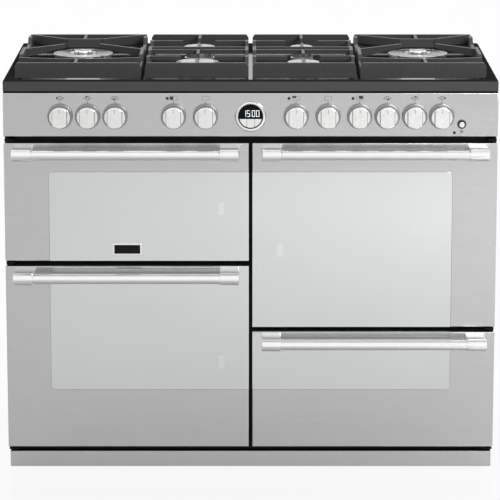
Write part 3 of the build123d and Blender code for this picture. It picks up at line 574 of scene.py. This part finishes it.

# Push button, oven switches and gas rail: the button is a satin cap, and behind the fascia stand
# moulded switches and a brass rail with its taps.
moulded, moulded_surface = shader("dark_moulding", (0.035, 0.035, 0.037), 0.0, 0.45)
texture_grain = pattern(moulded_surface, "ShaderNodeTexNoise", 700)
spread(moulded_surface, texture_grain.outputs["Fac"], 0.38, 0.55)
relief(moulded_surface, texture_grain.outputs["Fac"], 0.1, 0.0002)
dress("oven_switches", moulded)
brass, brass_surface = shader("drawn_brass", (0.55, 0.42, 0.2), 1.0, 0.35)
tarnish = pattern(brass_surface, "ShaderNodeTexNoise", 25)
tint(brass_surface, tarnish.outputs["Fac"], (0.44, 0.33, 0.16), (0.62, 0.48, 0.24))
dress("gas_rail", brass, 0.0004)
cap = dress("ignition_button", satin)

# Indicator lenses: small domes of moulded smoked plastic, pushed into the fascia beside the oven
# knobs. They look black while unlit.
smoked, smoked_surface = shader("smoked_lens", (0.02, 0.018, 0.018), 0.0, 0.15)
cloud = pattern(smoked_surface, "ShaderNodeTexNoise", 200)
spread(smoked_surface, cloud.outputs["Fac"], 0.1, 0.22)
dress("indicator_lenses", smoked, 0.0005)

# Hob tray: one pressing of steel with a raised rim and a shallow well, fired in black enamel. The
# well is glossy enough to mirror the supports, the rim is duller and the skirt has a greyer coat.
tray_black, tray_surface = shader("dull_black_enamel", (0.10, 0.10, 0.101), 0.0, 0.5)
wipes = pattern(tray_surface, "ShaderNodeTexNoise", 14, (0.4, 1.0, 1.0))
spread(tray_surface, wipes.outputs["Fac"], 0.45, 0.55)
tray_surface.inputs["Specular IOR Level"].default_value = 0.05
ripple = pattern(tray_surface, "ShaderNodeTexNoise", 180)
relief(tray_surface, ripple.outputs["Fac"], 0.04, 0.0003)
well_black, well_surface = shader("gloss_black_enamel", (0.010, 0.010, 0.011), 0.0, 0.1)
rinse = pattern(well_surface, "ShaderNodeTexNoise", 20)
spread(well_surface, rinse.outputs["Fac"], 0.08, 0.13)
well_surface.inputs["Specular IOR Level"].default_value = 0.8
rim_black, rim_surface = shader("rim_black_enamel", (0.022, 0.022, 0.023), 0.0, 0.5)
scuffs = pattern(rim_surface, "ShaderNodeTexNoise", 30)
spread(rim_surface, scuffs.outputs["Fac"], 0.42, 0.55)
rim_surface.inputs["Specular IOR Level"].default_value = 0.0
tray = dress("hob_tray", tray_black, 0.0004)
well_depth = 0.012
well_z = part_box("hob_tray")[1].z - well_depth / 2
face_finish(tray, well_black, lambda face: face.normal.z > 0.5 and face.center.z < well_z)
face_finish(tray, rim_black, lambda face: face.normal.z > 0.5 and face.center.z >= well_z)

# Foam strips: black closed-cell foam laid on the top folds of the fascia and of the plinth, which
# closes the gaps under the hob and under the front frame. Their black is also painted shade, which
# stands in for the shadow in those gaps.
# The foam's black is partly painted shade for the shadow in the gaps.
foam, foam_surface = shader("black_foam_and_painted_shade", (0.006, 0.006, 0.006), 0.0, 0.9)
foam_cells = pattern(foam_surface, "ShaderNodeTexVoronoi", 700)
relief(foam_surface, foam_cells.outputs["Distance"], 0.4, 0.0004)
foam_surface.inputs["Specular IOR Level"].default_value = 0.1
foam_inset = 0.001
foam_round = 0.0004
foam_gap = 0.0001
shade_foam_strips = (
    ("hob", "control_fascia", 0.0008, 0.016, 0.0002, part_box("hob_tray")[0].z),
    ("plinth", "plinth", 0.009, 0.0188, 0.0042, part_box("plinth")[1].z),
)
for name, fold, front, back, depth, foam_top in shade_foam_strips:
    low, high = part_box(fold)
    shape = bmesh.new()
    rounded_block(
        shape, (low.x + foam_inset, low.y + front, high.z - depth),
        (high.x - foam_inset, low.y + back, foam_top - foam_gap), foam_round, 2,
    )
    place_mesh(f"{name}_foam_strip", shape, foam, "cooker")

# Burners: a cast alloy crown with a ring of flame ports, and a loose turned cap on top. The wok
# burners at the sides have a ring cap round a small inner burner.
alloy, alloy_surface = shader("cast_burner_alloy", (0.66, 0.66, 0.65), 0.9, 0.36)
casting = pattern(alloy_surface, "ShaderNodeTexNoise", 320)
tint(alloy_surface, casting.outputs["Fac"], (0.58, 0.58, 0.57), (0.72, 0.72, 0.71))
relief(alloy_surface, casting.outputs["Fac"], 0.12, 0.0003)
turned, turned_surface = shader("turned_burner_cap", (0.34, 0.34, 0.336), 0.8, 0.34)
lathe = pattern(turned_surface, "ShaderNodeTexNoise", 240)
tint(turned_surface, lathe.outputs["Fac"], (0.30, 0.30, 0.296), (0.38, 0.38, 0.376))
spread(turned_surface, lathe.outputs["Fac"], 0.28, 0.42)


def node_islands(node):
    """The boxes of the separate solids in a CAD node, each as a lowest and a highest corner."""
    shape = merged_copy(node)
    met = set()
    boxes = []
    for first in shape.verts:
        if first in met:
            continue
        met.add(first)
        reach = [first]
        low, high = first.co.copy(), first.co.copy()
        while reach:
            vert = reach.pop()
            low = Vector(map(min, low, vert.co))
            high = Vector(map(max, high, vert.co))
            for edge in vert.link_edges:
                other = edge.other_vert(vert)
                if other not in met:
                    met.add(other)
                    reach.append(other)
        boxes.append((low, high))
    shape.free()
    return boxes


def node_tree(name, sockets):
    """A geometry node tree with named inputs; returns it with its input and output nodes."""
    group = bpy.data.node_groups.new(name, "GeometryNodeTree")
    group.interface.new_socket("Geometry", in_out="INPUT", socket_type="NodeSocketGeometry")
    group.interface.new_socket("Geometry", in_out="OUTPUT", socket_type="NodeSocketGeometry")
    for label, kind in sockets.items():
        group.interface.new_socket(label, in_out="INPUT", socket_type=f"NodeSocket{kind}")
    return group, group.nodes.new("NodeGroupInput"), group.nodes.new("NodeGroupOutput")


def end_tree(group, inputs, outputs, instances):
    """Ends a node tree: realizes its instances and sets the material of its Finish input."""
    real = group.nodes.new("GeometryNodeRealizeInstances")
    group.links.new(instances, real.inputs["Geometry"])
    finish = group.nodes.new("GeometryNodeSetMaterial")
    group.links.new(real.outputs["Geometry"], finish.inputs["Geometry"])
    group.links.new(inputs.outputs["Finish"], finish.inputs["Material"])
    group.links.new(finish.outputs["Geometry"], outputs.inputs["Geometry"])


def grow(name, group, values):
    """Runs a node tree with values for its named inputs and returns a plain mesh."""
    holder = bpy.data.objects.new(name, bpy.data.meshes.new(name))
    bpy.context.scene.collection.objects.link(holder)
    modifier = holder.modifiers.new(name, "NODES")
    modifier.node_group = group
    for socket in group.interface.items_tree:
        if socket.in_out == "INPUT" and socket.name in values:
            modifier[socket.identifier] = values[socket.name]
    seen = holder.evaluated_get(bpy.context.evaluated_depsgraph_get())
    mesh = bpy.data.meshes.new_from_object(seen)
    bpy.data.objects.remove(holder)
    return mesh


port_tree, port_in, port_out = node_tree("flame_port_ring", {
    "Teeth": "Int", "Ring radius": "Float", "Tooth size": "Vector", "Centre": "Vector",
    "Finish": "Material",
})
ring = port_tree.nodes.new("GeometryNodeMeshCircle")
port_tree.links.new(port_in.outputs["Teeth"], ring.inputs["Vertices"])
port_tree.links.new(port_in.outputs["Ring radius"], ring.inputs["Radius"])
lift = port_tree.nodes.new("GeometryNodeTransform")
port_tree.links.new(ring.outputs["Mesh"], lift.inputs["Geometry"])
port_tree.links.new(port_in.outputs["Centre"], lift.inputs["Translation"])
tooth = port_tree.nodes.new("GeometryNodeMeshCube")
port_tree.links.new(port_in.outputs["Tooth size"], tooth.inputs["Size"])
index = port_tree.nodes.new("GeometryNodeInputIndex")
share = port_tree.nodes.new("ShaderNodeMath")
share.operation = "DIVIDE"
port_tree.links.new(index.outputs["Index"], share.inputs[0])
port_tree.links.new(port_in.outputs["Teeth"], share.inputs[1])
angle = port_tree.nodes.new("ShaderNodeMath")
angle.operation = "MULTIPLY"
angle.inputs[1].default_value = 2 * math.pi
port_tree.links.new(share.outputs[0], angle.inputs[0])
spin = port_tree.nodes.new("ShaderNodeCombineXYZ")
port_tree.links.new(angle.outputs[0], spin.inputs["Z"])
scatter = port_tree.nodes.new("GeometryNodeInstanceOnPoints")
port_tree.links.new(lift.outputs["Geometry"], scatter.inputs["Points"])
port_tree.links.new(tooth.outputs["Mesh"], scatter.inputs["Instance"])
port_tree.links.new(spin.outputs["Vector"], scatter.inputs["Rotation"])
end_tree(port_tree, port_in, port_out, scatter.outputs["Instances"])
dress("burner_crowns", alloy, 0.0003)
cap_boxes = node_islands("burner_caps")
cap_height = min(high.z - low.z for low, high in cap_boxes)
wok_radius = max((high.x - low.x) / 2 for low, high in cap_boxes)
wok_hole = 0.032
wok_inner_x = 0.3
wok_groove = 0.005
wok_crown, small_crown = 0.92, 0.86
tooth_size = (0.0040, 0.0032, 0.0055)
tooth_pitch = 0.0062
tooth_proud = 0.001
wok_cap_sides, cap_sides = 96, 72
upward = ((0, 0, 1), (1, 0, 0))
caps = bmesh.new()
teeth = bmesh.new()
for low, high in cap_boxes:
    radius = (high.x - low.x) / 2
    centre = ((low.x + high.x) / 2, (low.y + high.y) / 2, low.z)
    edge = [(0.0, radius - 0.0016), (0.0005, radius - 0.0005), (0.0012, radius)]
    if radius > wok_radius - 0.001:
        edge += [
            (0.44 * cap_height, radius), (0.50 * cap_height, radius - 0.0004),
            (0.50 * cap_height, radius - wok_groove), (0.68 * cap_height, radius - wok_groove),
            (0.68 * cap_height, radius - 0.0004), (0.74 * cap_height, radius),
            (cap_height - 0.0008, radius), (cap_height - 0.0002, radius - 0.0005),
            (cap_height, radius - 0.0012), (cap_height, wok_hole + 0.003),
            (cap_height - 0.002, wok_hole + 0.0006), (0.0, wok_hole),
        ]
        turn_profile(caps, edge, centre, *upward, wok_cap_sides, hollow=True)
    else:
        edge += [
            (cap_height - 0.0030, radius), (cap_height - 0.0012, radius - 0.0009),
            (cap_height - 0.0003, radius - 0.0028), (cap_height, radius - 0.0055),
            (cap_height, 0.55 * radius), (cap_height - 0.0005, 0.50 * radius),
            (cap_height - 0.0005, 0.001),
        ]
        turn_profile(caps, [(0.0, 0.5 * radius)] + edge, centre, *upward, cap_sides)
    crown_share = wok_crown if abs(centre[0]) > wok_inner_x else small_crown
    crown = crown_share * radius + tooth_proud
    teeth.from_mesh(grow(
        "flame_ports", port_tree,
        {
            "Teeth": round(2 * math.pi * crown / tooth_pitch), "Ring radius": crown,
            "Tooth size": tooth_size, "Centre": (*centre[:2], low.z - tooth_size[2] / 2),
            "Finish": alloy,
        },
    ))
bmesh.ops.recalc_face_normals(caps, faces=caps.faces)
cap_piece = place_mesh("burner_caps_turned", caps, turned, "cooker")
polished, polished_surface = shader("polished_burner_rim", (0.90, 0.90, 0.89), 1.0, 0.16)
buffing = pattern(polished_surface, "ShaderNodeTexNoise", 200)
spread(polished_surface, buffing.outputs["Fac"], 0.12, 0.20)
face_finish(cap_piece, polished, lambda face: abs(face.normal.z) < 0.5)
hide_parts("burner_caps")
place_mesh("flame_port_teeth", teeth, alloy, "cooker")

# Spark electrodes: a sleeve of pale glazed ceramic beside each burner, which keeps the spark off
# the tray and is cemented through it.
ceramic, ceramic_surface = shader("glazed_ceramic", (0.82, 0.81, 0.77), 0.0, 0.25)
glaze = pattern(ceramic_surface, "ShaderNodeTexNoise", 150)
tint(ceramic_surface, glaze.outputs["Fac"], (0.74, 0.73, 0.69), (0.86, 0.85, 0.82))
dress("spark_electrodes", ceramic, 0.0004)

# Pan supports: four iron castings under matte black enamel, which lift off by hand. The casting
# skin is a little pitted, and the edges are rounded by the mould.
iron, iron_surface = shader("enamelled_cast_iron", (0.10, 0.10, 0.101), 0.0, 0.5)
pits = pattern(iron_surface, "ShaderNodeTexNoise", 380)
tint(iron_surface, pits.outputs["Fac"], (0.09, 0.09, 0.091), (0.11, 0.11, 0.111))
spread(iron_surface, pits.outputs["Fac"], 0.42, 0.58)
relief(iron_surface, pits.outputs["Fac"], 0.25, 0.0006)
iron_surface.inputs["Specular IOR Level"].default_value = 0.12
for place in ("left_wok", "left_centre", "right_centre", "right_wok"):
    dress(f"{place}_support", iron, 0.0012)

# Printed symbols: plain marks baked on the steel above each knob. Gas knobs show the six burners
# with their own one dark, oven knobs a small oven, and the push button a spark.
print_thickness = 0.00012
symbol_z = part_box("control_fascia")[0].z + 0.0865
symbol_pitch = (0.0045, 0.0056)
symbol_dot = 0.0018
own_scale = 1.25
tick_up, tick_half = 0.0034, (0.0005, 0.0022)
frame_half = (0.0080, 0.0044)
line_half = 0.0005
spark_down, spark_half = 0.0105, (0.0050, 0.0007)
spark_turn = 0.3
burner_dots = ((0, 0), (1, 0), (1, 1), (2, 0), (2, 1), (3, 0))
own_dot = {1: (0, 0), 2: (1, 1), 3: (1, 0), 9: (2, 0), 10: (2, 1), 11: (3, 0)}
filled_ovens = {
    4: (-0.0042, 0.0, 0.0040, 0.0034), 6: (-0.0044, 0.0026, 0.0044, 0.0022),
    8: (0.0028, 0.0016, 0.0044, 0.0034),
}
dark_marks = bmesh.new()
pale_marks = bmesh.new()
ink, ink_surface = shader("dark_print", (0.05, 0.05, 0.05), 0.0, 0.5)
ink_grain = pattern(ink_surface, "ShaderNodeTexNoise", 900)
spread(ink_surface, ink_grain.outputs["Fac"], 0.42, 0.58)
grey_ink, grey_surface = shader("grey_print", (0.28, 0.28, 0.28), 0.0, 0.5)
grey_grain = pattern(grey_surface, "ShaderNodeTexNoise", 900)
spread(grey_surface, grey_grain.outputs["Fac"], 0.42, 0.58)


def print_dot(shape, x, z, radius):
    """Adds a flat printed dot on the fascia."""
    profile = [(0.0, radius), (print_thickness, radius)]
    turn_profile(shape, profile, (x, fascia_y, z), *to_front, 16)


def print_bar(shape, x, z, half_width, half_height, turn=0.0):
    """Adds a flat printed bar on the fascia, turned about its middle."""
    along = Vector((math.cos(turn), 0, math.sin(turn)))
    across = Vector((-math.sin(turn), 0, math.cos(turn)))
    corners = [(-1, -1), (1, -1), (1, 1), (-1, 1)]
    layers = []
    for depth in (0.0, print_thickness):
        points = []
        for u, v in corners:
            spot = along * (u * half_width) + across * (v * half_height)
            points.append((spot.x, spot.z))
        layers.append((depth, points))
    stack_outlines(shape, layers, (x, fascia_y, z))


for node in knob_nodes:
    low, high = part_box(node)
    x = (low.x + high.x) / 2
    number = int(node.rsplit("_", 1)[1])
    print_bar(dark_marks, x, high.z + tick_up, *tick_half)
    if number in own_dot:
        for column, row in burner_dots:
            spot_x = x + (column - 1.5) * symbol_pitch[0]
            spot_z = symbol_z + (row - 0.5) * symbol_pitch[1] * (1 if column in (1, 2) else 0)
            if own_dot[number] == (column, row):
                print_dot(dark_marks, spot_x, spot_z, symbol_dot * own_scale)
            else:
                print_dot(pale_marks, spot_x, spot_z, symbol_dot)
    else:
        upright_half = (line_half, frame_half[1] + line_half)
        level_half = (frame_half[0] - line_half, line_half)
        for way in (-1, 1):
            print_bar(pale_marks, x + way * frame_half[0], symbol_z, *upright_half)
            print_bar(pale_marks, x, symbol_z + way * frame_half[1], *level_half)
        if number in filled_ovens:
            aside, above, half_width, half_height = filled_ovens[number]
            print_bar(dark_marks, x + aside, symbol_z + above, half_width, half_height)
push_low, push_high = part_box("ignition_button")
push_x = (push_low.x + push_high.x) / 2
for ray in range(3):
    turn = ray * math.pi / 3 + spark_turn
    print_bar(pale_marks, push_x, push_low.z - spark_down, *spark_half, turn)
place_mesh("printed_symbols_dark", dark_marks, ink, "cooker")
place_mesh("printed_symbols_pale", pale_marks, grey_ink, "cooker")

# Back panel screws: pan heads of zinc-coated screws that cut their own threads. They stand in rows
# round the edge of the sheet and fix it to the body.
screw_tree, screw_in, screw_out = node_tree("screw_row", {
    "Count": "Int", "Start": "Vector", "Step": "Vector", "Head radius": "Float",
    "Head height": "Float", "Finish": "Material",
})
row = screw_tree.nodes.new("GeometryNodeMeshLine")
screw_tree.links.new(screw_in.outputs["Count"], row.inputs["Count"])
screw_tree.links.new(screw_in.outputs["Start"], row.inputs["Start Location"])
screw_tree.links.new(screw_in.outputs["Step"], row.inputs["Offset"])
head = screw_tree.nodes.new("GeometryNodeMeshCone")
head.inputs["Vertices"].default_value = 16
screw_tree.links.new(screw_in.outputs["Head radius"], head.inputs["Radius Bottom"])
taper = screw_tree.nodes.new("ShaderNodeMath")
taper.operation = "MULTIPLY"
taper.inputs[1].default_value = 0.7
screw_tree.links.new(screw_in.outputs["Head radius"], taper.inputs[0])
screw_tree.links.new(taper.outputs[0], head.inputs["Radius Top"])
screw_tree.links.new(screw_in.outputs["Head height"], head.inputs["Depth"])
screws = screw_tree.nodes.new("GeometryNodeInstanceOnPoints")
screws.inputs["Rotation"].default_value = (-math.pi / 2, 0, 0)
screw_tree.links.new(row.outputs["Mesh"], screws.inputs["Points"])
screw_tree.links.new(head.outputs["Mesh"], screws.inputs["Instance"])
end_tree(screw_tree, screw_in, screw_out, screws.outputs["Instances"])
panel_low, panel_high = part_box("back_panel")
screw_inset = 0.012
side_inset = 0.1
screw_radius, screw_height = 0.0042, 0.0022
level_screws, side_screws = 9, 6
left_x, right_x = panel_low.x + screw_inset, panel_high.x - screw_inset
foot_z, top_z = panel_low.z + screw_inset, panel_high.z - screw_inset
side_foot_z, side_top_z = panel_low.z + side_inset, panel_high.z - side_inset
screw_shape = bmesh.new()
for start, end, count in (
    ((left_x, foot_z), (right_x, foot_z), level_screws),
    ((left_x, top_z), (right_x, top_z), level_screws),
    ((left_x, side_foot_z), (left_x, side_top_z), side_screws),
    ((right_x, side_foot_z), (right_x, side_top_z), side_screws),
):
    step = ((end[0] - start[0]) / (count - 1), 0, (end[1] - start[1]) / (count - 1))
    screw_shape.from_mesh(grow(
        "back_screws", screw_tree,
        {
            "Count": count, "Start": (start[0], panel_high.y, start[1]), "Step": step,
            "Head radius": screw_radius, "Head height": screw_height, "Finish": zinc,
        },
    ))
place_mesh("back_panel_screws", screw_shape, zinc, "cooker")

# Studio: a pale lacquered floor in a white room with a darker ceiling. One soft lamp lights the
# floor in front on the right, so steel and glass brighten from left to right, and one the back.
floor_material, floor_surface = shader("studio_floor", (0.50, 0.50, 0.50), 0.0, 0.25)
floor_grain = pattern(floor_surface, "ShaderNodeTexNoise", 3)
spread(floor_surface, floor_grain.outputs["Fac"], 0.22, 0.28)
floor_surface.inputs["Coat Weight"].default_value = 1.0
floor_surface.inputs["Coat Roughness"].default_value = 0.25


def ray_share(tree, shares):
    """A socket that adds up a share for each kind of ray given, and is 0 for the rest."""
    rays = tree.nodes.new("ShaderNodeLightPath")
    total = None
    for kind, share in shares.items():
        part = tree.nodes.new("ShaderNodeMath")
        part.operation = "MULTIPLY_ADD"
        part.inputs[1].default_value = share
        part.inputs[2].default_value = 0.0
        tree.links.new(rays.outputs[kind], part.inputs[0])
        if total:
            tree.links.new(total, part.inputs[2])
        total = part.outputs[0]
    return total


floor_tree = floor_material.node_tree
floor_white = floor_tree.nodes.new("ShaderNodeEmission")
floor_mix = floor_tree.nodes.new("ShaderNodeMixShader")
floor_shares = {"Is Camera Ray": 0.9, "Is Glossy Ray": 0.06, "Is Transmission Ray": 0.9}
floor_tree.links.new(ray_share(floor_tree, floor_shares), floor_mix.inputs["Fac"])
floor_tree.links.new(floor_surface.outputs[0], floor_mix.inputs[1])
floor_tree.links.new(floor_white.outputs[0], floor_mix.inputs[2])
floor_tree.links.new(floor_mix.outputs[0], floor_tree.nodes["Material Output"].inputs["Surface"])
floor_shape = bmesh.new()
bmesh.ops.create_grid(floor_shape, x_segments=1, y_segments=1, size=30)
floor_mesh = bpy.data.meshes.new("studio_floor")
floor_shape.to_mesh(floor_mesh)
floor_shape.free()
floor_mesh.materials.append(floor_material)
floor = bpy.data.objects.new("studio_floor", floor_mesh)
bpy.context.scene.collection.objects.link(floor)
surround = bpy.data.worlds.new("studio_surround")
bpy.context.scene.world = surround
surround.use_nodes = True
sky = surround.node_tree
plain_air = sky.nodes["Background"]
plain_air.inputs["Color"].default_value = (1, 1, 1, 1)
plain_air.inputs["Strength"].default_value = 0.35
white_air = sky.nodes.new("ShaderNodeBackground")
white_air.inputs["Color"].default_value = (1, 1, 1, 1)
choose = sky.nodes.new("ShaderNodeMixShader")
sky_shares = {"Is Camera Ray": 1.0, "Is Glossy Ray": 1.0, "Is Transmission Ray": 1.0}
sky.links.new(ray_share(sky, sky_shares), choose.inputs["Fac"])
sky_way = sky.nodes.new("ShaderNodeTexCoord")
sky_parts = sky.nodes.new("ShaderNodeSeparateXYZ")
sky.links.new(sky_way.outputs["Generated"], sky_parts.inputs["Vector"])
ceiling = sky.nodes.new("ShaderNodeMapRange")
ceiling.inputs["From Min"].default_value = math.sin(math.radians(70))
ceiling.inputs["From Max"].default_value = math.sin(math.radians(88))
ceiling.inputs["To Min"].default_value = 1.0
ceiling.inputs["To Max"].default_value = 0.6
sky.links.new(sky_parts.outputs["Z"], ceiling.inputs["Value"])
sky.links.new(ceiling.outputs["Result"], white_air.inputs["Strength"])
sky.links.new(plain_air.outputs[0], choose.inputs[1])
sky.links.new(white_air.outputs[0], choose.inputs[2])
sky.links.new(choose.outputs[0], sky.nodes["World Output"].inputs["Surface"])
for name, place, aim, size, power in (
    ("front_right_lamp", (1.7, -3.4, 2.2), (1.7, -3.4, 0.0), 1.6, 130),
    ("back_lamp", (0.0, 5.0, 5.0), (0.0, 5.0, 0.0), 8.0, 480),
):
    lamp = bpy.data.lights.new(name, "AREA")
    lamp.size = size
    lamp.energy = power
    lamp_object = bpy.data.objects.new(name, lamp)
    lamp_object.location = place
    lamp_object.rotation_euler = (Vector(aim) - Vector(place)).to_track_quat("-Z", "Y").to_euler()
    bpy.context.scene.collection.objects.link(lamp_object)

# Camera: a long lens far back and above the hob, looking slightly down on the front, framed as the
# photograph is.
eye_place = (-0.0013, -6.55, 1.874)
eye_pitch = 11.49
eye = bpy.data.cameras.new("front_camera")
eye.sensor_width = 36
eye.lens = 206.4
eye.shift_y = -0.07
eye_object = bpy.data.objects.new("front_camera", eye)
eye_object.location = eye_place
eye_object.rotation_euler = (math.radians(90 - eye_pitch), 0, 0)
bpy.context.scene.collection.objects.link(eye_object)
bpy.context.scene.camera = eye_object
bpy.context.scene.view_settings.view_transform = "Standard"
